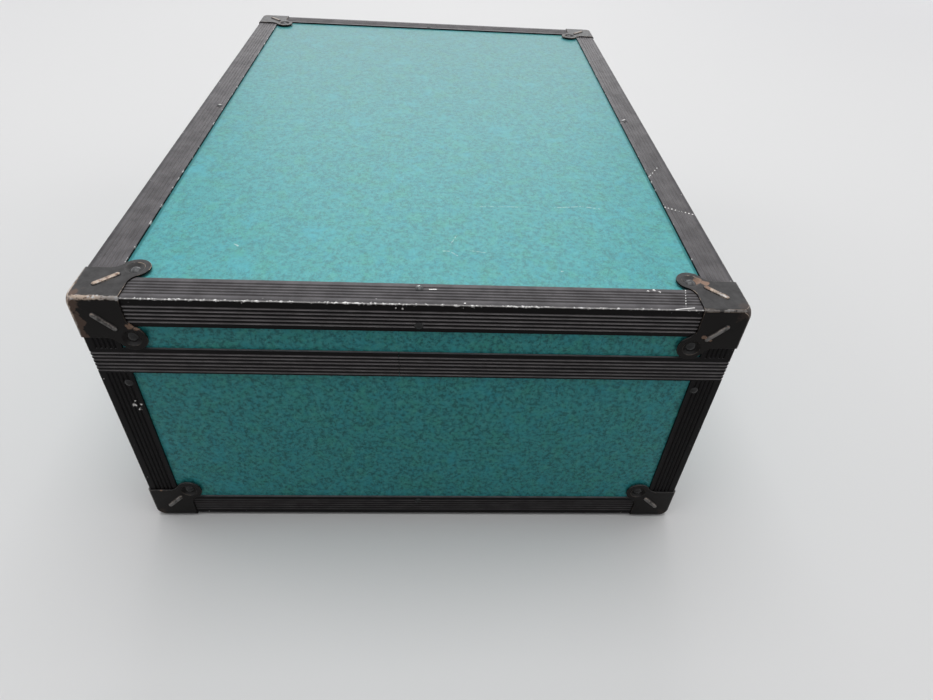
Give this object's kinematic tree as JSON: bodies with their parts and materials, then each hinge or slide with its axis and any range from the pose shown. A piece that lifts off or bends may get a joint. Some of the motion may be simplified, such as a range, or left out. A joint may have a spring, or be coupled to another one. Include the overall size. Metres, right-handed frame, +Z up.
{
  "type": "guitar pedal case",
  "caption": "Hard pedal case: laminated panels in ribbed edge trims with corner caps, a hinged lid, draw latches, a swinging handle and foam lining.",
  "frame": {"origin": "centre of the footprint of the whole object, handle and feet included, on the plane that the worn ribs of the four lower caps rest on", "axes": "+X along the case's length, +Y towards the hinges (latches and handle on -Y), +Z up"},
  "size_m": [0.6106, 0.4534, 0.2256],
  "materials": {
    "mottled_laminate": "satin",
    "black_anodised": "satin",
    "black_steel": "satin",
    "rivet_steel": "satin",
    "plated_wire": "satin",
    "grip_plastic": "matte",
    "foot_rubber": "matte",
    "grey_foam": "matte"
  },
  "bodies": {
    "base": {"base_bottom_panel": "mottled_laminate", "base_front_panel": "mottled_laminate", "base_back_panel": "mottled_laminate", "base_left_panel": "mottled_laminate", "base_right_panel": "mottled_laminate", "base_bottom_trim_front": "black_anodised", "base_bottom_trim_back": "black_anodised", "base_bottom_trim_left": "black_anodised", "base_bottom_trim_right": "black_anodised", "base_post_front_left": "black_anodised", "base_post_front_right": "black_anodised", "base_post_back_left": "black_anodised", "base_post_back_right": "black_anodised", "base_rim": "black_anodised", "base_cap_front_left": "black_steel", "base_cap_front_right": "black_steel", "base_cap_back_left": "black_steel", "base_cap_back_right": "black_steel", "base_cap_rivets": "rivet_steel", "base_trim_rivets": "rivet_steel", "base_hardware_rivets": "rivet_steel", "hinge_left_base_leaf": "black_steel", "latch_left_plate": "black_steel", "hinge_right_base_leaf": "black_steel", "latch_right_plate": "black_steel", "handle_brackets": "black_steel", "hinge_and_latch_pins": "plated_wire", "back_foot_screws": "plated_wire", "back_feet": "foot_rubber", "base_floor_foam": "grey_foam", "base_wall_foam": "grey_foam"},
    "lid": {"lid_top_panel": "mottled_laminate", "lid_front_panel": "mottled_laminate", "lid_back_panel": "mottled_laminate", "lid_left_panel": "mottled_laminate", "lid_right_panel": "mottled_laminate", "lid_top_trim_front": "black_anodised", "lid_top_trim_back": "black_anodised", "lid_top_trim_left": "black_anodised", "lid_top_trim_right": "black_anodised", "lid_posts": "black_anodised", "lid_rim": "black_anodised", "lid_cap_front_left": "black_steel", "lid_cap_front_right": "black_steel", "lid_cap_back_left": "black_steel", "lid_cap_back_right": "black_steel", "lid_cap_rivets": "rivet_steel", "lid_trim_rivets": "rivet_steel", "lid_hardware_rivets": "rivet_steel", "hinge_left_lid_leaf": "black_steel", "latch_left_strike": "black_steel", "hinge_right_lid_leaf": "black_steel", "latch_right_strike": "black_steel", "lid_foam": "grey_foam"},
    "left_lever": {"latch_left_lever": "black_steel"},
    "left_bail": {"latch_left_bail": "plated_wire"},
    "right_lever": {"latch_right_lever": "black_steel"},
    "right_bail": {"latch_right_bail": "plated_wire"},
    "handle": {"handle_wire": "plated_wire", "handle_grip": "grip_plastic"}
  },
  "joints": [
    {"name": "lid_hinge", "type": "hinge", "parent": "base", "child": "lid", "pos_m": [0, 0.219, 0.171], "axis": [-1, 0, 0], "range_deg": [0, 105]},
    {"name": "left_latch_lever", "type": "hinge", "parent": "base", "child": "left_lever", "pos_m": [-0.18, -0.2152, 0.151], "axis": [-1, 0, 0], "range_deg": [0, 100]},
    {"name": "left_latch_bail", "type": "hinge", "parent": "left_lever", "child": "left_bail", "pos_m": [-0.18, -0.21433, 0.14104], "axis": [1, 0, 0], "range_deg": [0, 100]},
    {"name": "right_latch_lever", "type": "hinge", "parent": "base", "child": "right_lever", "pos_m": [0.18, -0.2152, 0.151], "axis": [-1, 0, 0], "range_deg": [0, 100]},
    {"name": "right_latch_bail", "type": "hinge", "parent": "right_lever", "child": "right_bail", "pos_m": [0.18, -0.21433, 0.14104], "axis": [1, 0, 0], "range_deg": [0, 100]},
    {"name": "handle_swing", "type": "hinge", "parent": "base", "child": "handle", "pos_m": [0, -0.2187, 0.1283], "axis": [-1, 0, 0], "range_deg": [0, 95]}
  ],
  "couplings": [
    {"joint": "left_latch_bail", "follows": "left_latch_lever", "ratio": 1},
    {"joint": "right_latch_bail", "follows": "right_latch_lever", "ratio": 1}
  ]
}
